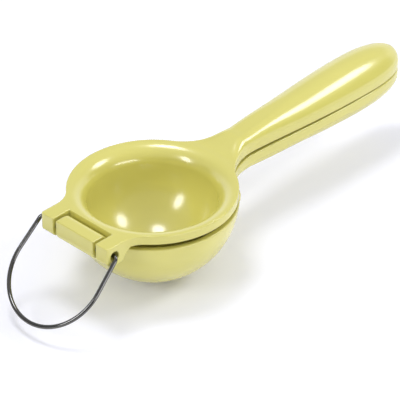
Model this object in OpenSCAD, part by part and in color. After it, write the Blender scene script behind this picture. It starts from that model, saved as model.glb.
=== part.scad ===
// Hinged lemon squeezer. A press arm carries a round dish that nests in a
// perforated cup on a second arm. Both arms swing on one hinge tube, and the
// open ends of the same tube take a wire hanging loop.
//
// +X runs along the handles, +Y across them and +Z up. The origin is the centre
// of the flat foot under the cup. Millimetres.

/* [Press dish] */
// Outer radius of the rim
rim_r = 41; // [37:0.5:45]
// Height of the straight side wall that runs round both arms
belt_h = 4.9; // [4.2:0.1:5.4]
// Width of the flat land on top of the rim
rim_land = 0.7; // [0.4:0.1:2]
// Radius of the round-over from the rim into the dish
roll_r = 9; // [7:0.5:10]
// Depth of the centre of the dish below the rim
dish_drop = 5.55; // [5:0.05:6.5]
// Wall of the dish
dish_wall = 3; // [2.2:0.1:3.4]

/* [Cup] */
// How far the cup stands out past the rim
cup_flare = 0.3; // [0:0.1:1]
// Depth of the centre of the cup below the rim
cup_drop = 5.1; // [4.8:0.1:5.6]
// Wall of the cup
cup_wall = 3; // [2.4:0.1:3.4]
// Radius of the flat foot under the cup
foot_r = 9.2; // [8.6:0.1:9.8]
// Diameter of a drain hole
drain_d = 4; // [3:0.1:4.6]
// Rings of drain holes
drain_rings = 3; // [1:1:3]
// Radius of the first ring of drain holes
drain_first_r = 6; // [5.6:0.1:6.2]
// Distance from one ring of drain holes to the next
drain_pitch = 8.2; // [7.6:0.1:8.6]

/* [Handles] */
// Reach of the handles beyond the rim
handle_reach = 130.1; // [112:0.1:150]
// Half width of a handle at its neck
neck_half_w = 8.4; // [7.4:0.1:9.6]
// Radius of the hollow corner between the rim and the neck
neck_fillet_r = 29.5; // [25:0.5:34]
// Half width of a handle at its widest place
grip_half_w = 13; // [11.4:0.1:15]
// Length of the round end of a handle
end_len = 32.2; // [26:0.1:42]
// Height of the crown above the side wall at the neck
neck_crown_h = 2.4; // [1.8:0.1:3.6]
// Height of the crown above the side wall at the grip
grip_crown_h = 10.2; // [8.4:0.1:11.6]
// Wall of a hollow handle
shell_wall = 2.8; // [2.2:0.1:3.2]
// Cross ribs inside each handle
rib_count = 4; // [2:1:6]
// Thickness of a cross rib
rib_t = 2; // [1.4:0.1:3]

/* [Hinge] */
// Distance from the edge of the rim to the hinge axis
hinge_reach = 5.6; // [5.3:0.1:6.4]
// Depth of the hinge axis below the top of the rim
hinge_drop = 5.65; // [5.4:0.05:5.9]
// Radius of the hinge barrels
barrel_r = 5.6; // [5.1:0.1:5.6]
// Overall width over both ears
ears_w = 44.8; // [41:0.2:50]
// Width of the knuckle between the ears
knuckle_w = 24.8; // [21:0.2:27]
// Gap between the knuckle and each ear
side_gap = 1.8; // [1.2:0.1:2.2]
// Radius of the hollow corner between an ear and the rim
ear_fillet_r = 14; // [11:0.5:17]
// Outer diameter of the hinge tube
tube_od = 5; // [4.6:0.1:5.4]
// Wall of the hinge tube
tube_wall = 0.8; // [0.6:0.05:0.95]
// Depth of each tube end inside its ear
tube_recess = 4.6; // [3:0.1:5.4]

/* [Hanging loop] */
// Diameter of the wire
wire_d = 2.1; // [1.8:0.1:2.4]
// Reach of the loop from the hinge axis to the middle of the wire
loop_reach = 46.3; // [42:0.1:52]
// How much wider the round end is than the legs, on each side
loop_swell = 1.1; // [0.6:0.1:2]
// Play between each leg of the loop and its ear, with the loop centred
loop_play = 1.75; // [1.55:0.05:2.2]
// Radius of the bend where a leg turns into the tube
loop_corner_r = 2.2; // [1.9:0.1:2.6]
// Length of straight wire inside the ear and the tube
loop_tail = 9; // [8:0.1:10]
// Angle of the loop, outwards from straight down
loop_swing = 46.7; // [38:0.1:75]
// How far the loop has slid to its left
loop_slide = 1.5; // [0:0.05:1.5]

/* [Closing] */
// Gap between the side walls of the arms at the hinge
gap_hinge = 3; // [2.7:0.1:3.4]
// Gap between the tips of the handles
gap_tip = 0.4; // [0.3:0.05:0.8]

/* [Hidden] */

$fn = 96;
turn_fit = 0.05;       // radial clearance of the knuckle on the tube
seat_fit = 0.02;       // radial clearance of the tube in the ears
barrel_cut = 0.9;      // flat on the front of the barrels
notch_clear = 0.35;    // swing clearance between the knuckle and the rim
knuckle_break = 0.9;   // edge break on the front of the knuckle
web_drop = 8;          // height of the web behind the knuckle
ear_round = 1.1;       // round on the upright corners of the ears
skirt_tail = 4.2;      // length of the slope under an ear
skirt_up = 0.4;        // height of the skirt's edge above the barrel bottom
grip_share = 0.69;     // where the handle reaches its full width
swell_power = 0.74;    // how early the handle widens
end_power = 2.34;      // squareness of the round end
crown_power = 3;       // squareness of the crown at the neck
crown_slope = 48;      // half angle of the arc over the grip
crown_rise = 14.5;     // length over which the crown grows out of the rim
crease_tilt = 1.2;     // depth of the hollow roof below the side wall's edge
first_drains = 5;      // holes in the first ring, and added by each ring
half_points = 8;       // points on half a crown
rib_set = 1.5;         // height of a rib's edge inside the handle's mouth
root_sink = 0.03;      // how far that root keeps under the rim's faces
over = 1;              // how far a cut runs past a face

// cup and foot
cup_r = rim_r + cup_flare;
rim_top = sqrt(cup_r*cup_r - foot_r*foot_r) + cup_drop;
cup_mid_z = rim_top - cup_drop;

// dish: the round-over meets the dish with hardly a crease
roll_mid_r = rim_r - rim_land;
roll_join = 0.02;
dish_r = norm([roll_mid_r, roll_r - dish_drop]) - roll_r + roll_join;
join_share = (dish_r - roll_join)/(dish_r + roll_r - roll_join);
join_z = -dish_drop + join_share*(dish_drop - roll_r);

// hinge
hinge_x = -rim_r - hinge_reach;
hinge_z = rim_top - hinge_drop;
bar_x = hinge_x - barrel_r + barrel_cut;
notch_x = hinge_x + hinge_drop + notch_clear;
notch_w = knuckle_w + 2*side_gap;
tube_len = ears_w - 2*tube_recess;
ear_mid_y = ears_w/2 + ear_fillet_r;
ear_mid_x = -sqrt((rim_r + ear_fillet_r)*(rim_r + ear_fillet_r)
    - ear_mid_y*ear_mid_y);
ear_join = rim_r/(rim_r + ear_fillet_r);
skirt_z = -hinge_drop - barrel_r + skirt_up;
skirt_x = hinge_x + hinge_drop - skirt_up;

// handles
neck_mid_y = neck_half_w + neck_fillet_r;
neck_x = sqrt((rim_r + neck_fillet_r)*(rim_r + neck_fillet_r)
    - neck_mid_y*neck_mid_y);
root_x = rim_r + 0.1;
join_x = neck_x*rim_r/(rim_r + neck_fillet_r);
join_y = neck_mid_y*rim_r/(rim_r + neck_fillet_r);
root_start = join_x + 0.75;
root_w = sqrt(pow(rim_r - 0.2, 2) - root_start*root_start);
tip_x = rim_r + handle_reach;
end_x = tip_x - end_len;
grip_x = neck_x + grip_share*(tip_x - neck_x);
close_angle = asin((gap_hinge - gap_tip)/(tip_x - hinge_x));
cavity_x0 = neck_x - 7;
cavity_x1 = tip_x - 1.25*shell_wall;

// loop, in its own plane; its legs lean outwards and run into the round end
leg_y = ears_w/2 + loop_play + wire_d/2;
loop_r = leg_y + loop_swell;
loop_mid = loop_reach - loop_r;
loop_far = norm([leg_y, loop_mid]);
leg_tilt = asin(loop_r/loop_far) - atan2(leg_y, loop_mid);
leg_len = sqrt(loop_far*loop_far - loop_r*loop_r)
    - loop_corner_r/tan((90 + leg_tilt)/2);

enamel = [0.93, 0.88, 0.52];
steel = [0.62, 0.62, 0.60];

function ease(t) = t <= 0 ? 0 : t >= 1 ? 1 : t*t*(3 - 2*t);
function end_round(x) = x <= end_x ? 1
    : pow(max(0, 1 - pow((x - end_x)/end_len, end_power)), 1/end_power);
function widen(x) = neck_half_w + (grip_half_w - neck_half_w)
    *ease(pow(max(0, (x - neck_x)/(grip_x - neck_x)), swell_power));
// half width of either arm at distance x
function half_w(x) = x < neck_x
    ? neck_mid_y - sqrt(neck_fillet_r*neck_fillet_r
        - (neck_x - x)*(neck_x - x))
    : widen(x)*end_round(x);
// height of the crown above the edge of the side wall
function crown(x) = ease((x - root_x)/crown_rise)*end_round(x)
    *(neck_crown_h + (grip_crown_h - neck_crown_h)
        *ease((x - neck_x)/(grip_x - neck_x)));
// share of the crown's height at share u of the half width
function square_crown(u) = pow(max(0, 1 - pow(u, crown_power)),
    1/crown_power);
function round_crown(u) = (sqrt(1 - pow(u*sin(crown_slope), 2))
    - cos(crown_slope))/(1 - cos(crown_slope));
function crown_shape(x, u) = let(b = ease((x - neck_x)/(grip_x - neck_x)))
    (1 - b)*square_crown(u) + b*round_crown(u);

// stations along a handle, closer together at both ends
function stations(x0, x1, x2, n1, n2) = concat(
    [for (i = [0:n1]) x0 + (x1 - x0)*pow(i/n1, 1.25)],
    [for (i = [1:n2]) x1 + (x2 - x1)*sin(90*i/n2)]);

// the root of a handle keeps under the round-over of the rim
function root_drop(x, y) = x > rim_r + 0.5 ? 0 : let(r = norm([x, y]))
    (r > rim_r + 0.3 ? 0 : root_sink)
    + (r > roll_mid_r ? 0
        : roll_r - sqrt(roll_r*roll_r - pow(roll_mid_r - r, 2)));
function root_lift(x) = x > rim_r + 0.5 ? 0 : root_sink;

// one closed section: along the bottom, up one side and over the crown
function section(x, w, foot, edge, rise) = concat(
    [[x, -w, foot], [x, w, foot]],
    [for (i = [0:2*half_points]) let(a = 90*(1 - i/half_points), u = sin(a))
        [x, w*u, edge + rise*crown_shape(x, abs(u)) - root_drop(x, w*u)]]);

// solid skin over a row of sections
module loft(rows) {
    n = len(rows[0]);
    m = len(rows);
    points = [for (r = rows) each r];
    skin = [for (j = [0:m - 2], i = [0:n - 1]) let(k = (i + 1) % n)
        each [[j*n + i, (j + 1)*n + k, j*n + k],
              [j*n + i, (j + 1)*n + i, (j + 1)*n + k]]];
    first = [for (i = [0:n - 1]) i];
    last = [for (i = [n - 1:-1:0]) (m - 1)*n + i];
    polyhedron(points, concat([first], skin, [last]), convexity = 6);
}

// upper half of a handle, side wall from 0 down to -belt_h, beyond the root
module half_handle(start, first) {
    xs = stations(start, end_x, tip_x - 0.12, 24, 14);
    rows = concat(first, [for (x = xs)
        section(x, half_w(x), root_lift(x) - belt_h, 0,
            max(0.01, crown(x)))]);
    hollow_xs = stations(cavity_x0, end_x, cavity_x1, 14, 8);
    hollow = [for (x = hollow_xs) section(x,
        max(1, half_w(x) - shell_wall), -belt_h - over, -crease_tilt,
        max(0.1, crown(x) + crease_tilt - shell_wall))];
    rib_step = (cavity_x1 - cavity_x0)/(rib_count + 1);
    difference() {
        loft(rows);
        difference() {
            loft(hollow);
            for (i = [1:rib_count])
                translate([cavity_x0 + i*rib_step - rib_t/2, -rim_r/2,
                    rib_set - belt_h])
                    cube([rib_t, rim_r, 3*belt_h]);
        }
    }
}

// outline of the widening between the cup and the neck, a hair narrower
// than the handle that takes over from it
module neck_plan() {
    difference() {
        translate([join_x - 1, 1 - join_y])
            square([root_x + 2 - join_x + 1, 2*join_y - 2]);
        for (s = [-1, 1])
            translate([neck_x, s*neck_mid_y])
                circle(r = neck_fillet_r + root_sink);
    }
}

// outline of both ears and of the hollow corners behind them
module ear_plan() {
    difference() {
        translate([bar_x, -ears_w/2])
            square([ear_join*ear_mid_x - bar_x, ears_w]);
        for (s = [-1, 1])
            translate([bar_x, s*ears_w/2]) difference() {
                square(2*ear_round, center = true);
                translate([ear_round, -s*ear_round]) circle(r = ear_round);
            }
    }
    difference() {
        translate([ear_mid_x, -ear_join*ear_mid_y])
            square([ear_join*ear_mid_x - ear_mid_x, 2*ear_join*ear_mid_y]);
        for (s = [-1, 1])
            translate([ear_mid_x, s*ear_mid_y]) circle(r = ear_fillet_r);
    }
}

// side view of an ear: x outwards from the hinge, y up from the rim
module ear_side() {
    join_x = ear_join*ear_mid_x;
    slope_x = skirt_x + skirt_tail;
    intersection() {
        union() {
            translate([hinge_x, -hinge_drop]) circle(r = barrel_r);
            polygon([[bar_x, 0], [join_x, 0], [join_x, -belt_h],
                [slope_x, -belt_h], [skirt_x, skirt_z],
                [hinge_x, skirt_z], [hinge_x, -hinge_drop],
                [bar_x, -hinge_drop]]);
        }
        translate([bar_x, -3*rim_r]) square([2*rim_r, 3*rim_r]);
    }
}

// stands a side view up so that its width runs along Y
module across(width) {
    rotate([90, 0, 0])
        linear_extrude(width, center = true) children();
}

module press_arm() {
    color(enamel) translate([0, 0, rim_top]) {
        difference() {
            union() {
                // rim and dish
                rotate_extrude() difference() {
                    union() {
                        translate([0, -belt_h]) square([rim_r, belt_h]);
                        intersection() {
                            translate([0, -dish_drop])
                                circle(r = dish_r + dish_wall);
                            translate([0, -2*rim_r - belt_h])
                                square([2*rim_r, 2*rim_r + belt_h/2]);
                        }
                    }
                    translate([0, -dish_drop]) circle(r = dish_r);
                    difference() {
                        translate([0, join_z])
                            square([roll_mid_r, over - join_z]);
                        translate([roll_mid_r, -roll_r]) circle(r = roll_r);
                    }
                }
                // ears
                difference() {
                    intersection() {
                        across(2*rim_r) ear_side();
                        translate([0, 0, -2*rim_r])
                            linear_extrude(2*rim_r) ear_plan();
                    }
                    cylinder(r = rim_r - rim_land/2, h = 4*rim_r,
                        center = true);
                    translate([bar_x - over, -notch_w/2, -rim_r - belt_h])
                        cube([rim_r, notch_w, rim_r]);
                }
                half_handle(root_start + 1,
                    [section(root_start, root_w, root_sink - belt_h, 0, 0.01)]);
            }
            // notch for the knuckle
            translate([bar_x - over, -notch_w/2, -rim_r])
                cube([notch_x - bar_x + over, notch_w, rim_r + over]);
            // bore for the hinge tube
            translate([hinge_x, 0, -hinge_drop]) rotate([90, 0, 0])
                cylinder(d = tube_od + 2*seat_fit, h = ears_w + 2*over,
                    center = true);
        }
    }
}

// frame of the lower arm, turned about the hinge until the tips all but meet
module closed() {
    translate([hinge_x, 0, hinge_z]) rotate([0, -close_angle, 0])
        translate([-hinge_x, 0, -hinge_z]) children();
}

// side view of the knuckle and of the web that joins it to the cup
module knuckle_side() {
    front = barrel_cut - barrel_r;
    back = hinge_drop - 0.4;
    web_z = hinge_drop - belt_h - gap_hinge;
    web_end = hinge_reach + 3*cup_wall;
    intersection() {
        circle(r = barrel_r);
        translate([front, -2*barrel_r])
            square([4*barrel_r, 2*barrel_r + hinge_drop]);
    }
    intersection() {
        circle(r = hinge_drop - root_sink);
        translate([-over, 0]) square(hinge_drop + over);
    }
    polygon([[front, 0], [front, hinge_drop - knuckle_break],
        [front + knuckle_break, hinge_drop], [0, hinge_drop], [0, over],
        [back, over], [back, web_z], [web_end, web_z],
        [web_end, web_z - web_drop], [hinge_reach, web_z - web_drop],
        [0, 0.2 - barrel_r]]);
}

module cup_arm() {
    parting = -belt_h - gap_hinge + rim_top;
    color(enamel) difference() {
        union() {
            // cup
            difference() {
                translate([0, 0, cup_mid_z]) difference() {
                    sphere(r = cup_r);
                    sphere(r = cup_r - cup_wall);
                }
                closed() translate([-2*rim_r, -2*rim_r, parting])
                    cube(4*rim_r);
            }
            // handle, and its root in the wall of the cup
            closed() translate([0, 0, parting]) mirror([0, 0, 1])
                translate([0, 0, belt_h]) {
                    half_handle(root_x, []);
                    translate([0, 0, root_sink - belt_h])
                        linear_extrude(belt_h - 2*root_sink) difference() {
                            neck_plan();
                            circle(r = cup_r - cup_wall/2);
                        }
                }
            // knuckle and web
            difference() {
                translate([hinge_x, 0, hinge_z]) across(knuckle_w)
                    knuckle_side();
                translate([0, 0, cup_mid_z]) sphere(r = cup_r - cup_wall/2);
            }
        }
        // flat foot
        translate([-rim_r, -rim_r, -rim_r]) cube([2*rim_r, 2*rim_r, rim_r]);
        // drain holes
        for (ring = [1:drain_rings], i = [0:ring*first_drains - 1])
            rotate([0, 0, 360*i/(ring*first_drains)])
                translate([drain_first_r + (ring - 1)*drain_pitch, 0, -over])
                    cylinder(d = drain_d, h = 0.6*rim_r);
        // bore for the hinge tube
        translate([hinge_x, 0, hinge_z]) rotate([90, 0, 0])
            cylinder(d = tube_od + 2*turn_fit, h = knuckle_w + 2*over,
                center = true);
    }
}

module hinge_tube() {
    color(steel) translate([hinge_x, 0, hinge_z]) rotate([90, 0, 0])
        difference() {
            cylinder(d = tube_od, h = tube_len, center = true);
            cylinder(d = tube_od - 2*tube_wall, h = tube_len + 2*over,
                center = true);
        }
}

// one leg of the loop in the plane XY, with its bend and its straight tail,
// seen from the end of the round part
module loop_leg() {
    step = 0.15;
    translate([loop_r, -leg_len - step, 0]) rotate([-90, 0, 0])
        cylinder(d = wire_d - 0.04, h = leg_len + 2*step);
    translate([loop_r - loop_corner_r, -leg_len])
        rotate([0, 0, leg_tilt - 90]) {
            rotate_extrude(angle = 90 - leg_tilt)
                translate([loop_corner_r, 0]) circle(d = wire_d);
            translate([loop_corner_r, step, 0]) rotate([90, 0, 0])
                cylinder(d = wire_d - 0.1, h = loop_tail);
        }
}

module hanging_loop() {
    color(steel) translate([hinge_x, loop_slide, hinge_z])
        rotate([0, loop_swing - 90, 0]) rotate([0, 0, 90])
            translate([0, loop_mid, 0]) {
                rotate([0, 0, -leg_tilt])
                    rotate_extrude(angle = 180 + 2*leg_tilt)
                        translate([loop_r, 0]) circle(d = wire_d);
                for (s = [0, 1])
                    mirror([s, 0, 0]) rotate([0, 0, -leg_tilt]) loop_leg();
            }
}

press_arm();
cup_arm();
hinge_tube();
hanging_loop();
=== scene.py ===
import math

import bpy
import numpy as np
from mathutils import Matrix, Vector


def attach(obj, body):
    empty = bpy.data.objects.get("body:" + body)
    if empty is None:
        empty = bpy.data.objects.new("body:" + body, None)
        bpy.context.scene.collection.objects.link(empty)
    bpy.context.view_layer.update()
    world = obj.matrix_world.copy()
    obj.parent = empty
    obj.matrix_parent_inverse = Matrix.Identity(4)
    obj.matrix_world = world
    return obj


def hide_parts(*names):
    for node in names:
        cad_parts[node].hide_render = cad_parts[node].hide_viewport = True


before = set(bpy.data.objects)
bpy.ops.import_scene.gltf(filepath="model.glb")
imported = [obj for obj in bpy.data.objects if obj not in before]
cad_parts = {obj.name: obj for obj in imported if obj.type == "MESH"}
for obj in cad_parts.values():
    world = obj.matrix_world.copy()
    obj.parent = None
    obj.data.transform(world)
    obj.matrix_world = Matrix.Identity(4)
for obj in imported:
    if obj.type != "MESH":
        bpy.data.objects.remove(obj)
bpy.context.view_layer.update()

# ---------------------------------------------------------------- sizes, mm
RIM_R = 41.0
BELT = 4.9
LAND = 0.7
ROLL = 9.0
DISH_DROP = 5.55
DISH_WALL = 3.0
CUP_R = 41.3
CUP_DROP = 5.1
CUP_WALL = 3.0
FOOT_R = 9.2
RIM_TOP = math.sqrt(CUP_R**2 - FOOT_R**2) + CUP_DROP
TIP_X = 171.1
END_LEN = 32.2
END_X = TIP_X - END_LEN
END_POWER = 2.34
TIP_SHY = 0.2           # the skin ends a hair short of the tip
NECK_W = 8.4
NECK_R = 29.5
GRIP_W = 13.0
NECK_C = 4.0             # height of the crown at the neck
GRIP_C = 10.2            # and over the grip
CROWN_POWER = 1.4        # above 1 the crown rises early along the handle
NECK_RUN = 5.4           # width of the crown's shoulder at the neck
NECK_STEEP = 78          # degrees of arc there
GRIP_STEEP = 68          # and over the grip
GRIP_SHARE = 0.69        # where the grip is widest, as a share of its run
SWELL_POWER = 0.74
NECK_Y = NECK_W + NECK_R
NECK_X = math.sqrt((RIM_R + NECK_R)**2 - NECK_Y**2)
GRIP_X = NECK_X + GRIP_SHARE*(TIP_X - NECK_X)
ROOT_X = RIM_R + 0.1
CROWN_RISE = 14.5
WALL = 2.8
HINGE_X = -46.6
HINGE_DROP = 5.65
BARREL = 5.6
BARREL_CUT = 0.9         # the barrels are cut flat behind
BAR_X = HINGE_X - BARREL + BARREL_CUT
SKIRT = 4.2              # slant from the belt down to an ear's barrel
SKIRT_SINK = 0.4
WEB_RUN = 5.6            # slant under the knuckle's web
WEB_RISE = 4.65
WEB_DROP = 8
WEB_LONG = 14
EAR_BORE = 2.52
KNUCKLE_BORE = 2.55
HOLE_R = 2.0             # drain holes, in rings of 5, 10 and 15
HOLE_FIRST = 6.0
HOLE_STEP = 8.2
HOLE_TOP = -12
EARS = 22.4
KNUCKLE = 12.4
NOTCH_Y = 14.2
NOTCH_X = HINGE_X + HINGE_DROP + 0.35
EAR_R = 14.0
EAR_Y = EARS + EAR_R
EAR_X = -math.sqrt((RIM_R + EAR_R)**2 - EAR_Y**2)
GAP_HINGE = 3.0
GAP_TIP = 0.4
CLOSE = math.asin((GAP_HINGE - GAP_TIP)/(TIP_X - HINGE_X))
DISH_R = math.hypot(RIM_R - LAND, ROLL - DISH_DROP) - ROLL
ROLL_X = RIM_R - LAND
RIB_HALF = 1.0
RIB_DROP = 1.5           # the ribs end this far inside the mouth
CAVITY_0 = NECK_X - 7
CAVITY_1 = TIP_X - 1.25*WALL
SHY = 0.02               # the skin keeps this far inside the casting
EDGE = 0.5               # radius along the edge of the side wall
STEP = 0.6
PRESS_BOX = (-53, -43, -42), (173, 43, 11.6)
CUP_BOX = (-53, -43, -47), (173, 43, 1.5)


# ------------------------------------------------- distance field helpers
def cut(a, b, r):
    """Inside both, with the outer edge rounded to radius r."""
    u = np.maximum(r + a, 0)
    v = np.maximum(r + b, 0)
    return np.minimum(-r, np.maximum(a, b)) + np.sqrt(u*u + v*v)


def join(a, b, r):
    """Inside either, with the hollow corner filled to radius r."""
    u = np.maximum(r - a, 0)
    v = np.maximum(r - b, 0)
    return np.maximum(r, np.minimum(a, b)) - np.sqrt(u*u + v*v)


def ease(t):
    t = np.clip(t, 0, 1)
    return t*t*(3 - 2*t)


def end_round(x):
    t = np.clip((x - END_X)/(END_LEN - TIP_SHY), 0, 0.9999)
    return (1 - t**END_POWER)**(1/END_POWER)


def along(x):
    """Place along a handle, 0 at the neck and 1 at its widest."""
    return np.clip((x - NECK_X)/(GRIP_X - NECK_X), 0, 1)


def widen(x):
    return NECK_W + (GRIP_W - NECK_W)*ease(along(x)**SWELL_POWER)


def crown(x):
    c = NECK_C + (GRIP_C - NECK_C)*(1 - (1 - along(x))**CROWN_POWER)
    return c*ease((x - ROOT_X)/CROWN_RISE)


def outline(x, y):
    """Distance from the outline of the press arm, seen from above."""
    a = np.abs(y)
    r = np.hypot(x, y)
    rim = r - RIM_R
    # hollow corner between the rim and the neck
    corner = NECK_R - np.hypot(x - NECK_X, a - NECK_Y)
    neck_zone = (a*NECK_X < x*NECK_Y) & (x < NECK_X)
    # handle with its round end
    w = widen(x)
    slope = (widen(x + 0.05) - widen(x - 0.05))/0.1
    side = (a - w)/np.sqrt(1 + slope*slope)
    p = END_POWER
    t = np.maximum(x - END_X, 0)/(END_LEN - TIP_SHY)
    q = (np.maximum(a/w, 1e-6)**p + t**p)**(1/p)
    gx = np.where(q > 1e-6, (t/np.maximum(q, 1e-6))**(p - 1)/END_LEN, 0)
    gy = (np.maximum(a/w, 1e-6)/np.maximum(q, 1e-6))**(p - 1)/w
    cap = (q - 1)/np.sqrt(gx*gx + gy*gy + 1e-12)
    handle = np.where(x > END_X, cap, side)
    out = np.where(x > NECK_X, handle, np.where(neck_zone, corner, rim))
    # hollow corner between the rim and an ear
    ear_corner = EAR_R - np.hypot(x - EAR_X, a - EAR_Y)
    ear_zone = (a*(-EAR_X) < -x*EAR_Y) & (x < 0)
    ear = np.where(x > EAR_X, ear_corner, a - EARS)
    out = np.where(ear_zone | (x < EAR_X), ear, out)
    return cut(out, BAR_X - x, 1.3)


def crown_top(x, y, z):
    """Distance above the crown of a handle: flat in the middle of the neck,
    one round arc over the grip, and steep where it meets the side wall."""
    s = along(x)
    e = np.maximum(end_round(x), 0.06)
    hollow = NECK_R**2 - (NECK_X - x)**2
    w = np.where(x < NECK_X, NECK_Y - np.sqrt(np.maximum(hollow, 4)), widen(x))
    t = ease(s/0.5)
    run = (1 - t)*NECK_RUN + t*w
    phi = np.radians(NECK_STEEP - (NECK_STEEP - GRIP_STEEP)*ease(s/0.4))
    c = crown(x)
    span = np.maximum(c, 0.05)/(1 - np.cos(phi))
    v = np.maximum(np.abs(y)/e - w + run, 0)/run*np.sin(phi)
    q = (z/e - c)/span + 1
    k = (np.hypot(np.maximum(q, 0), v) - 1)*span
    return (k + np.minimum(z/e, 0))*e


def graded(f, x, y, z, h=0.05):
    """A field scaled to a true distance next to its surface."""
    k = f(x, y, z)
    gx = (f(x + h, y, z) - f(x - h, y, z))/(2*h)
    gy = (f(x, y + h, z) - f(x, y - h, z))/(2*h)
    gz = (f(x, y, z + h) - f(x, y, z - h))/(2*h)
    return k/np.maximum(np.sqrt(gx*gx + gy*gy + gz*gz), 0.3)


def cavity(x, z, plan, top):
    """Hollow of a handle half, open at its mouth, with cross ribs."""
    c = cut(plan + WALL, top + WALL, 2.0)
    c = cut(c, CAVITY_0 - x, 2.0)
    pitch = (CAVITY_1 - CAVITY_0)/5
    n = np.clip(np.round((x - CAVITY_0)/pitch), 1, 4)
    rib = np.abs(x - (CAVITY_0 + n*pitch)) - RIB_HALF
    rib = cut(rib, -BELT + RIB_DROP - z, 0.5)
    return cut(c, -rib, 0.8)


def press_field(x, y, z):
    """Press arm; z from the top of the rim."""
    plan = outline(x, y)
    r = np.hypot(x, y)
    # top of the rim, its round-over and the dish
    roll = np.hypot(r - ROLL_X, z + ROLL) - ROLL
    bowl = DISH_R - np.hypot(r, z + DISH_DROP)
    above = (z + DISH_DROP)*ROLL_X > r*(DISH_DROP - ROLL)
    rim_top = np.where(r >= ROLL_X, z, np.where(above, roll, bowl))
    k = graded(crown_top, x, y, z)
    top = np.where((x > 0) & (r >= ROLL_X), k, rim_top)
    # underside: parting face, dome of the dish, barrels of the ears
    dome = np.hypot(r, z + DISH_DROP) - (DISH_R + DISH_WALL)
    low = join(-BELT - z, dome, 1.5)
    skirt_x = HINGE_X + HINGE_DROP - SKIRT_SINK
    skirt_z = -HINGE_DROP - BARREL + SKIRT_SINK
    run = math.hypot(SKIRT, skirt_z + BELT)
    nx = -(skirt_z + BELT)/run
    nz = -SKIRT/run
    slope = (x - skirt_x - SKIRT)*nx + (z + BELT)*nz
    skirt = np.maximum(np.maximum(slope, skirt_z - z), HINGE_X - x)
    barrel = np.hypot(x - HINGE_X, z + HINGE_DROP) - BARREL
    block = np.maximum(-HINGE_DROP - z, x + 41)
    ear = np.minimum(np.minimum(skirt, barrel), block)
    ear = np.maximum(ear, np.maximum(x + 30, NOTCH_Y - np.abs(y)))
    low = join(low, ear, 0.6)
    f = cut(plan, top, EDGE)
    f = cut(f, low, 0.5)
    notch = np.maximum(x - NOTCH_X, np.abs(y) - NOTCH_Y)
    f = cut(f, -notch, 0.5)
    bore = np.hypot(x - HINGE_X, z + HINGE_DROP) - EAR_BORE
    f = cut(f, -bore, 0.45)
    return cut(f, -cavity(x, z, plan, k), 0.5) + SHY


def turned(x, z):
    """The lower arm's own frame, before it is turned about the hinge."""
    c, s = math.cos(CLOSE), math.sin(CLOSE)
    dx = x - HINGE_X
    dz = z + HINGE_DROP
    return HINGE_X + c*dx + s*dz, -HINGE_DROP - s*dx + c*dz


def cup_field(x, y, z):
    """Cup arm; z from the top of the press arm's rim."""
    xt, zt = turned(x, z)
    parting = zt + BELT + GAP_HINGE
    zl = -zt - 2*BELT - GAP_HINGE
    r = np.hypot(x, y)
    mid = np.hypot(r, z + CUP_DROP)
    plan = np.maximum(outline(xt, y), 33 - xt)
    k = graded(crown_top, xt, y, zl)
    handle = cut(plan, k, EDGE)
    f = join(mid - CUP_R, handle, 3.0)
    f = cut(f, parting, 0.6)
    f = cut(f, -cavity(xt, zl, plan, k), 0.5)
    # knuckle and web
    hx = x - HINGE_X
    hz = z + HINGE_DROP
    hr = np.hypot(hx, hz)
    front = -BARREL + BARREL_CUT
    barrel = hr - BARREL
    back = np.maximum(np.maximum(hr - HINGE_DROP, -hz), -1 - hx)
    block = np.maximum(np.maximum(hx, hz - HINGE_DROP), -hz)
    web_z = HINGE_DROP - BELT - GAP_HINGE
    fill = np.maximum(np.maximum(hx - HINGE_DROP + 0.4, hz - 1),
                      np.maximum(-hx, -3 - hz))
    low = -WEB_RISE*hx - WEB_RUN*(hz + BARREL)
    low = np.maximum(low/math.hypot(WEB_RUN, WEB_RISE), web_z - WEB_DROP - hz)
    web = np.maximum(np.maximum(hz - web_z, low),
                     np.maximum(-hx, hx - WEB_LONG))
    knuckle = np.minimum(np.minimum(barrel, back),
                         np.minimum(block, np.minimum(fill, web)))
    knuckle = cut(knuckle, np.maximum(front - hx, hz - HINGE_DROP), 0.9)
    knuckle = cut(knuckle, np.abs(y) - KNUCKLE, 0.7)
    f = join(f, knuckle, 1.2)
    f = cut(f, CUP_R - CUP_WALL - mid, 0.6)
    f = cut(f, KNUCKLE_BORE - hr, 0.4)
    # foot and drain holes
    f = cut(f, -RIM_TOP - z, 0.8)
    for ring in (1, 2, 3):
        n = 5*ring
        rad = HOLE_FIRST + (ring - 1)*HOLE_STEP
        ang = np.arctan2(y, x)
        near = np.round(ang/(2*math.pi/n))*(2*math.pi/n)
        hole = np.hypot(x - rad*np.cos(near), y - rad*np.sin(near)) - HOLE_R
        hole = np.maximum(hole, z - HOLE_TOP)
        f = cut(f, -hole, 0.5)
    return f + SHY


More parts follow.
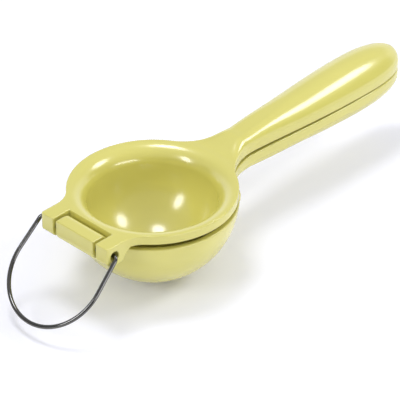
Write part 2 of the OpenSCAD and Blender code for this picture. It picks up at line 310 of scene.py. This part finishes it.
def surface(field, lo, hi, step):
    """Mesh of a field's zero surface: one vertex in each cell it crosses,
    then pulled onto the surface along the field's slope."""
    lo = np.array(lo, float)
    n = np.ceil((np.array(hi) - lo)/step).astype(int) + 1
    n = ((n + 3)//4)*4 + 1
    ax = [lo[i] + step*np.arange(n[i]) for i in range(3)]
    coarse = [a[::4] for a in ax]
    cx, cy, cz = np.meshgrid(*coarse, indexing="ij")
    cf = field(cx.ravel(), cy.ravel(), cz.ravel()).reshape(cx.shape)
    # blocks of 4 cells whose corners are near the surface
    reach = 4*step*1.9
    near = np.abs(cf) < reach
    block = near[:-1, :-1, :-1].copy()
    for i in (0, 1):
        for j in (0, 1):
            for k in (0, 1):
                block |= near[i:cf.shape[0] - 1 + i, j:cf.shape[1] - 1 + j,
                              k:cf.shape[2] - 1 + k]
    sign = np.sign(cf[:-1, :-1, :-1])
    vals = np.full(n, 9.0, np.float32)
    up = np.repeat(np.repeat(np.repeat(sign, 4, 0), 4, 1), 4, 2)*9.0
    vals[:-1, :-1, :-1] = up
    todo = np.zeros(n, bool)
    bi = np.argwhere(block)*4
    off = np.stack(np.meshgrid(*[np.arange(5)]*3, indexing="ij"), -1)
    off = off.reshape(-1, 3)
    for o in off:
        todo[bi[:, 0] + o[0], bi[:, 1] + o[1], bi[:, 2] + o[2]] = True
    idx = np.argwhere(todo)
    out = np.empty(len(idx))
    for s in range(0, len(idx), 400000):
        p = lo + idx[s:s + 400000]*step
        out[s:s + 400000] = field(p[:, 0], p[:, 1], p[:, 2])
    vals[idx[:, 0], idx[:, 1], idx[:, 2]] = out
    inside = vals < 0
    # cells with a sign change
    c = inside[:-1, :-1, :-1].astype(np.int8)
    tot = np.zeros_like(c)
    for i in (0, 1):
        for j in (0, 1):
            for k in (0, 1):
                tot += inside[i:n[0] - 1 + i, j:n[1] - 1 + j, k:n[2] - 1 + k]
    cells = np.argwhere((tot > 0) & (tot < 8))
    number = np.full(tot.shape, -1, np.int64)
    number[cells[:, 0], cells[:, 1], cells[:, 2]] = np.arange(len(cells))
    # mean of the crossings on the cell's edges
    acc = np.zeros((len(cells), 3))
    cnt = np.zeros(len(cells))
    for axis in range(3):
        others = [a for a in range(3) if a != axis]
        for p in (0, 1):
            for q in (0, 1):
                a = cells.copy()
                a[:, others[0]] += p
                a[:, others[1]] += q
                b = a.copy()
                b[:, axis] += 1
                va = vals[a[:, 0], a[:, 1], a[:, 2]].astype(float)
                vb = vals[b[:, 0], b[:, 1], b[:, 2]].astype(float)
                hit = (va < 0) != (vb < 0)
                t = np.where(hit, va/np.where(hit, va - vb, 1), 0)
                pt = a.astype(float)
                pt[:, axis] += t
                acc[hit] += pt[hit]
                cnt[hit] += 1
    v = lo + acc/cnt[:, None]*step
    first = v.copy()
    h = 0.02             # mm, for the slope of the field
    for _ in range(3):
        x, y, z = v.T
        f0 = field(x, y, z)
        g = np.stack([field(x + h, y, z) - field(x - h, y, z),
                      field(x, y + h, z) - field(x, y - h, z),
                      field(x, y, z + h) - field(x, y, z - h)], 1)/(2*h)
        g2 = np.maximum((g*g).sum(1), 0.05)
        d = -(f0/g2)[:, None]*g
        size = np.maximum(np.linalg.norm(d, axis=1), 1e-9)
        d *= np.minimum(1, 0.35*step/size)[:, None]
        v = v + d
    # a vertex that strayed goes back to where it started
    lost = np.abs(field(*v.T)) > np.abs(field(*first.T))
    v[lost] = first[lost]
    x, y, z = v.T
    g = np.stack([field(x + h, y, z) - field(x - h, y, z),
                  field(x, y + h, z) - field(x, y - h, z),
                  field(x, y, z + h) - field(x, y, z - h)], 1)
    normal = g/np.maximum(np.linalg.norm(g, axis=1), 1e-9)[:, None]
    faces = []
    for axis in range(3):
        o1, o2 = [(1, 2), (2, 0), (0, 1)][axis]
        sl_a = [slice(None)]*3
        sl_b = [slice(None)]*3
        sl_a[axis] = slice(0, n[axis] - 1)
        sl_b[axis] = slice(1, n[axis])
        for o in (o1, o2):
            sl_a[o] = slice(1, n[o] - 1)
            sl_b[o] = slice(1, n[o] - 1)
        ia = inside[tuple(sl_a)]
        ib = inside[tuple(sl_b)]
        e = np.argwhere(ia != ib)
        start = ia[e[:, 0], e[:, 1], e[:, 2]]
        e[:, o1] += 1
        e[:, o2] += 1
        quad = []
        for p, q in ((1, 1), (0, 1), (0, 0), (1, 0)):
            cc = e.copy()
            cc[:, o1] -= p
            cc[:, o2] -= q
            quad.append(number[cc[:, 0], cc[:, 1], cc[:, 2]])
        quad = np.stack(quad, 1)
        quad[~start] = quad[~start][:, ::-1]
        faces.append(quad)
    return v, np.concatenate(faces), normal


def solid(name, field, lo, hi, step):
    v, f, normal = surface(field, lo, hi, step)
    pts = v*0.001
    pts[:, 2] += RIM_TOP*0.001
    me = bpy.data.meshes.new(name)
    me.vertices.add(len(pts))
    me.vertices.foreach_set("co", pts.ravel())
    me.loops.add(4*len(f))
    me.loops.foreach_set("vertex_index", f.ravel().astype(np.int32))
    me.polygons.add(len(f))
    me.polygons.foreach_set("loop_start", np.arange(0, 4*len(f), 4,
                                                    dtype=np.int32))
    me.polygons.foreach_set("use_smooth", np.ones(len(f), bool))
    me.update(calc_edges=True)
    me.validate()
    me.normals_split_custom_set_from_vertices(
        [tuple(q) for q in normal])
    ob = bpy.data.objects.new(name, me)
    bpy.context.scene.collection.objects.link(ob)
    return ob


# ------------------------------------------------------------- materials
def new_material(name):
    m = bpy.data.materials.new(name)
    m.use_nodes = True
    nt = m.node_tree
    return m, nt, nt.nodes["Principled BSDF"]


def enamel_material():
    m, nt, bsdf = new_material("lemon_enamel")
    n = nt.nodes
    link = nt.links.new
    co = n.new("ShaderNodeTexCoord")
    # faint clouding of the enamel's tone
    cloud = n.new("ShaderNodeTexNoise")
    cloud.inputs["Scale"].default_value = 26.0
    cloud.inputs["Detail"].default_value = 3.0
    link(co.outputs["Object"], cloud.inputs["Vector"])
    ramp = n.new("ShaderNodeValToRGB")
    ramp.color_ramp.elements[0].position = 0.3
    ramp.color_ramp.elements[0].color = (0.655, 0.608, 0.148, 1)
    ramp.color_ramp.elements[1].position = 0.7
    ramp.color_ramp.elements[1].color = (0.680, 0.631, 0.160, 1)
    link(cloud.outputs["Fac"], ramp.inputs["Fac"])
    link(ramp.outputs["Color"], bsdf.inputs["Base Color"])
    # orange peel of the fired coat, and a fine unevenness in the gloss
    peel = n.new("ShaderNodeTexNoise")
    peel.inputs["Scale"].default_value = 420.0
    peel.inputs["Detail"].default_value = 1.0
    link(co.outputs["Object"], peel.inputs["Vector"])
    slow = n.new("ShaderNodeTexNoise")
    slow.inputs["Scale"].default_value = 55.0
    slow.inputs["Detail"].default_value = 2.0
    link(co.outputs["Object"], slow.inputs["Vector"])
    add = n.new("ShaderNodeMath")
    add.operation = "MULTIPLY_ADD"
    add.inputs[1].default_value = 0.35
    link(peel.outputs["Fac"], add.inputs[0])
    link(slow.outputs["Fac"], add.inputs[2])
    bump = n.new("ShaderNodeBump")
    bump.inputs["Strength"].default_value = 0.05
    bump.inputs["Distance"].default_value = 0.0004
    link(add.outputs[0], bump.inputs["Height"])
    link(bump.outputs["Normal"], bsdf.inputs["Normal"])
    gloss = n.new("ShaderNodeMapRange")
    gloss.inputs["To Min"].default_value = 0.22
    gloss.inputs["To Max"].default_value = 0.28
    link(slow.outputs["Fac"], gloss.inputs["Value"])
    link(gloss.outputs[0], bsdf.inputs["Roughness"])
    bsdf.inputs["IOR"].default_value = 1.55
    bsdf.inputs["Coat Weight"].default_value = 0.8
    bsdf.inputs["Coat IOR"].default_value = 1.6
    bsdf.inputs["Coat Roughness"].default_value = 0.16
    return m


def steel_material(name, base, rough, stretch):
    """Drawn wire and tube: fine lines along the metal."""
    m, nt, bsdf = new_material(name)
    n = nt.nodes
    link = nt.links.new
    co = n.new("ShaderNodeTexCoord")
    mp = n.new("ShaderNodeMapping")
    mp.inputs["Scale"].default_value = stretch
    link(co.outputs["Object"], mp.inputs["Vector"])
    grain = n.new("ShaderNodeTexNoise")
    grain.inputs["Scale"].default_value = 60.0
    grain.inputs["Detail"].default_value = 5.0
    link(mp.outputs["Vector"], grain.inputs["Vector"])
    ramp = n.new("ShaderNodeValToRGB")
    ramp.color_ramp.elements[0].position = 0.25
    ramp.color_ramp.elements[0].color = tuple(0.8*c for c in base) + (1,)
    ramp.color_ramp.elements[1].position = 0.75
    ramp.color_ramp.elements[1].color = tuple(base) + (1,)
    link(grain.outputs["Fac"], ramp.inputs["Fac"])
    link(ramp.outputs["Color"], bsdf.inputs["Base Color"])
    gloss = n.new("ShaderNodeMapRange")
    gloss.inputs["To Min"].default_value = rough
    gloss.inputs["To Max"].default_value = rough + 0.12
    link(grain.outputs["Fac"], gloss.inputs["Value"])
    link(gloss.outputs[0], bsdf.inputs["Roughness"])
    bump = n.new("ShaderNodeBump")
    bump.inputs["Strength"].default_value = 0.08
    bump.inputs["Distance"].default_value = 0.0002
    link(grain.outputs["Fac"], bump.inputs["Height"])
    link(bump.outputs["Normal"], bsdf.inputs["Normal"])
    bsdf.inputs["Metallic"].default_value = 1.0
    return m


enamel = enamel_material()
wire_steel = steel_material("wire_steel", (0.15, 0.15, 0.15), 0.02, (1, 1, 1))
tube_steel = steel_material("tube_steel", (0.5, 0.5, 0.48), 0.25, (30, 1, 30))

# ------------------------------------------------------------ the two arms
press = solid("press_arm_casting", press_field, *PRESS_BOX, STEP)
press.data.materials.append(enamel)
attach(press, "press")
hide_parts("press_arm")

cup = solid("cup_arm_casting", cup_field, *CUP_BOX, STEP)
cup.data.materials.append(enamel)
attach(cup, "cup")
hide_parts("cup_arm")


# ------------------------------------------------------- tube and wire loop
def tube_mesh(name, path, radius, sides):
    """Round wire along a path, with eased ends."""
    path = np.array(path, float)
    tan = np.gradient(path, axis=0)
    tan /= np.linalg.norm(tan, axis=1)[:, None]
    side = np.cross(tan[0], (0.3, 0.2, 0.9))
    side /= np.linalg.norm(side)
    verts = []
    for i, p in enumerate(path):
        side = side - tan[i]*np.dot(side, tan[i])
        side /= np.linalg.norm(side)
        up = np.cross(tan[i], side)
        for k in range(sides):
            a = 2*math.pi*k/sides
            verts.append(p + radius*(math.cos(a)*side + math.sin(a)*up))
    n = len(path)
    faces = [(i*sides + k, i*sides + (k + 1) % sides,
              (i + 1)*sides + (k + 1) % sides, (i + 1)*sides + k)
             for i in range(n - 1) for k in range(sides)]
    # eased ends
    for end, d in ((0, -1), (n - 1, 1)):
        ring0 = [end*sides + k for k in range(sides)]
        last = ring0
        for grow, shift in ((0.9, 0.12), (0.7, 0.2)):
            base = len(verts)
            for k in range(sides):
                q = np.array(verts[ring0[k]]) - path[end]
                verts.append(path[end] + q*grow + tan[end]*d*shift*radius)
            ring = list(range(base, base + sides))
            for k in range(sides):
                quad = (last[k], last[(k + 1) % sides],
                        ring[(k + 1) % sides], ring[k])
                faces.append(quad if d > 0 else quad[::-1])
            last = ring
        faces.append(tuple(last) if d > 0 else tuple(last[::-1]))
    me = bpy.data.meshes.new(name)
    me.from_pydata([tuple(v) for v in verts], [], faces)
    me.polygons.foreach_set("use_smooth", np.ones(len(faces), bool))
    me.update()
    ob = bpy.data.objects.new(name, me)
    bpy.context.scene.collection.objects.link(ob)
    return ob


WIRE = 2.1
TAIL_SHY = 0.15          # for the eased end beyond the path's first point
LEG_Y = EARS + 1.75 + WIRE/2
LOOP_R = LEG_Y + 1.1
LOOP_MID = 46.3 - LOOP_R
FAR = math.hypot(LEG_Y, LOOP_MID)
TILT = math.asin(LOOP_R/FAR) - math.atan2(LEG_Y, LOOP_MID)
CORNER = 2.2
TAIL = 9.0
SLIDE = 1.5              # the loop has slid to one side
SWING = math.radians(46.7)


def half_loop_path():
    """From the end inside the tube to the middle of the round end."""
    c = CORNER/math.tan((math.pi/2 + TILT)/2)
    pts = [(LEG_Y - c - TAIL + TAIL_SHY + (TAIL - TAIL_SHY)*i/6, 0)
           for i in range(6)]
    for i in range(13):
        a = -math.pi/2 + (math.pi/2 - TILT)*i/12
        pts.append((LEG_Y - c + CORNER*math.cos(a),
                    CORNER + CORNER*math.sin(a)))
    leg0 = pts[-1]
    leg1 = (LOOP_R*math.cos(TILT), LOOP_MID - LOOP_R*math.sin(TILT))
    for i in range(1, 12):
        s = i/12
        pts.append((leg0[0] + (leg1[0] - leg0[0])*s,
                    leg0[1] + (leg1[1] - leg0[1])*s))
    for i in range(49):
        a = -TILT + (math.pi/2 + TILT)*i/48
        pts.append((LOOP_R*math.cos(a), LOOP_MID + LOOP_R*math.sin(a)))
    return pts


half = half_loop_path()
plane = half + [(-u, v) for u, v in half[-2::-1]]
path = [(0.001*(HINGE_X - v*math.sin(SWING)),
         0.001*(SLIDE + u),
         0.001*(RIM_TOP - HINGE_DROP - v*math.cos(SWING)))
        for u, v in plane]
loop = tube_mesh("wire_loop", path, 0.001*(WIRE - 0.01)/2, 28)
loop.data.materials.append(wire_steel)
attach(loop, "loop")
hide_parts("hanging_loop")


def lathe_y(name, profile, sides=64):
    """Closed ring profile (radius, y) in mm turned about the hinge axis."""
    verts = []
    for r, y in profile:
        for k in range(sides):
            a = 2*math.pi*k/sides
            verts.append((0.001*(HINGE_X + r*math.cos(a)), 0.001*y,
                          0.001*(RIM_TOP - HINGE_DROP + r*math.sin(a))))
    m = len(profile)
    faces = []
    for i in range(m):
        j = (i + 1) % m
        for k in range(sides):
            q = (k + 1) % sides
            faces.append((i*sides + k, i*sides + q, j*sides + q, j*sides + k))
    me = bpy.data.meshes.new(name)
    me.from_pydata(verts, [], faces)
    me.polygons.foreach_set("use_smooth", np.ones(len(faces), bool))
    me.update()
    me.set_sharp_from_angle(angle=math.radians(40))
    ob = bpy.data.objects.new(name, me)
    bpy.context.scene.collection.objects.link(ob)
    return ob


TUBE_H = EARS - 4.6
TUBE_IN = 1.7
TUBE_OUT = 2.5
TUBE_EDGE = 0.2
tube = lathe_y("hinge_tube_steel", [
    (TUBE_IN, -TUBE_H + TUBE_EDGE), (TUBE_IN, TUBE_H - TUBE_EDGE),
    (TUBE_IN + TUBE_EDGE, TUBE_H), (TUBE_OUT - TUBE_EDGE, TUBE_H),
    (TUBE_OUT, TUBE_H - TUBE_EDGE), (TUBE_OUT, -TUBE_H + TUBE_EDGE),
    (TUBE_OUT - TUBE_EDGE, -TUBE_H), (TUBE_IN + TUBE_EDGE, -TUBE_H)])
tube.data.materials.append(tube_steel)
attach(tube, "press")
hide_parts("hinge_tube")

# ------------------------------------------------------------------ stage
def plane_mesh(name, half_size, z):
    me = bpy.data.meshes.new(name)
    s = half_size
    me.from_pydata([(-s, -s, z), (s, -s, z), (s, s, z), (-s, s, z)], [],
                   [(0, 1, 2, 3)])
    ob = bpy.data.objects.new(name, me)
    bpy.context.scene.collection.objects.link(ob)
    return ob


floor = plane_mesh("floor", 6.0, 0.0)
fm, nt, bsdf = new_material("pale_floor")
n = nt.nodes
link = nt.links.new
tex = n.new("ShaderNodeTexNoise")
tex.inputs["Scale"].default_value = 8.0
ramp = n.new("ShaderNodeValToRGB")
ramp.color_ramp.elements[0].color = (0.90, 0.90, 0.90, 1)
ramp.color_ramp.elements[1].color = (0.92, 0.92, 0.92, 1)
link(tex.outputs["Fac"], ramp.inputs["Fac"])
link(ramp.outputs["Color"], bsdf.inputs["Base Color"])
bsdf.inputs["Roughness"].default_value = 0.9
bsdf.inputs["Specular IOR Level"].default_value = 0.1
# what the camera and mirrors see of it: paper white, with the same shadow
shown = n.new("ShaderNodeBsdfDiffuse")
tint = n.new("ShaderNodeMix")
tint.data_type = "RGBA"      # its sockets 6, 7 and 2 are A, B and Result
tint.inputs[6].default_value = (0.86, 0.86, 0.86, 1)
tint.inputs[7].default_value = (0.88, 0.89, 1.0, 1)
link(tint.outputs[2], shown.inputs["Color"])
glow = n.new("ShaderNodeEmission")
glow.inputs["Strength"].default_value = 0.09
both = n.new("ShaderNodeAddShader")
link(shown.outputs[0], both.inputs[0])
link(glow.outputs[0], both.inputs[1])
rays = n.new("ShaderNodeLightPath")
link(rays.outputs["Is Camera Ray"], tint.inputs[0])
seen = n.new("ShaderNodeMath")
seen.operation = "MAXIMUM"
link(rays.outputs["Is Camera Ray"], seen.inputs[0])
link(rays.outputs["Is Glossy Ray"], seen.inputs[1])
also = n.new("ShaderNodeMath")
also.operation = "MAXIMUM"
link(seen.outputs[0], also.inputs[0])
link(rays.outputs["Is Transmission Ray"], also.inputs[1])
mix = n.new("ShaderNodeMixShader")
link(also.outputs[0], mix.inputs[0])
link(bsdf.outputs[0], mix.inputs[1])
link(both.outputs[0], mix.inputs[2])
link(mix.outputs[0], n["Material Output"].inputs["Surface"])
floor.data.materials.append(fm)

# studio: a pale sweep behind the object, a dim room in front, light above
world = bpy.data.worlds.new("studio")
bpy.context.scene.world = world
world.use_nodes = True
wt = world.node_tree
co = wt.nodes.new("ShaderNodeTexCoord")
axes = wt.nodes.new("ShaderNodeSeparateXYZ")
wt.links.new(co.outputs["Generated"], axes.inputs[0])


def blend_range(value, lo, hi, out_lo, out_hi):
    k = wt.nodes.new("ShaderNodeMapRange")
    k.interpolation_type = "SMOOTHSTEP"
    k.inputs["From Min"].default_value = lo
    k.inputs["From Max"].default_value = hi
    for socket, v in (("To Min", out_lo), ("To Max", out_hi)):
        if isinstance(v, float):
            k.inputs[socket].default_value = v
        else:
            wt.links.new(v, k.inputs[socket])
    wt.links.new(value, k.inputs["Value"])
    return k.outputs[0]


behind = wt.nodes.new("ShaderNodeVectorMath")
behind.operation = "DOT_PRODUCT"
behind.inputs[1].default_value = (0.63, 0.777, 0)
wt.links.new(co.outputs["Generated"], behind.inputs[0])
low = blend_range(behind.outputs["Value"], 0.25, 0.45, 0.10, 1.0)
upper = blend_range(axes.outputs["Z"], 0.72, 0.86, 0.49, 0.64)
sky = blend_range(axes.outputs["Z"], 0.36, 0.46, low, upper)
wt.links.new(sky, wt.nodes["Background"].inputs["Strength"])
wt.nodes["Background"].inputs["Color"].default_value = (1, 1, 1, 1)


def lamp(name, az, el, wide, high, radiance, dist=1.2):
    """Oval soft box seen from the dish at azimuth az, elevation el."""
    data = bpy.data.lights.new(name, "AREA")
    data.shape = "ELLIPSE"
    data.size = wide
    data.size_y = high
    data.energy = math.pi*(math.pi/4*wide*high)*radiance
    ob = bpy.data.objects.new(name, data)
    a, b = math.radians(az), math.radians(el)
    d = Vector((math.cos(a)*math.cos(b), math.sin(a)*math.cos(b), math.sin(b)))
    ob.location = Vector((0, 0, 0.04)) + d*dist
    ob.rotation_euler = (-d).to_track_quat("-Z", "Y").to_euler()
    bpy.context.scene.collection.objects.link(ob)
    return ob


lamp("lamp_right", -36, 40, 0.46, 0.40, 8.6)
lamp("lamp_left", 168, 30, 0.30, 0.54, 9.6)
lamp("lamp_top", 95, 79, 0.36, 0.44, 11.0)
lamp("lamp_low", -92, 8, 0.90, 0.26, 7.2)

# ----------------------------------------------------------------- camera
cam_data = bpy.data.cameras.new("camera")
cam_data.sensor_width = 36.0
cam_data.lens = 270.0
cam_data.clip_end = 20.0
cam = bpy.data.objects.new("camera", cam_data)
bpy.context.scene.collection.objects.link(cam)
back = Vector((-0.5881, -0.5773, 0.5665)).normalized()
right = Vector((0, 0, 1)).cross(back).normalized()
upv = back.cross(right)
rot = Matrix((right, upv, back)).transposed()
place = Vector((-0.81951, -0.83588, 0.79684 + 0.001*RIM_TOP))
cam.matrix_world = Matrix.Translation(place) @ rot.to_4x4()
bpy.context.scene.camera = cam
bpy.context.scene.view_settings.view_transform = "Standard"
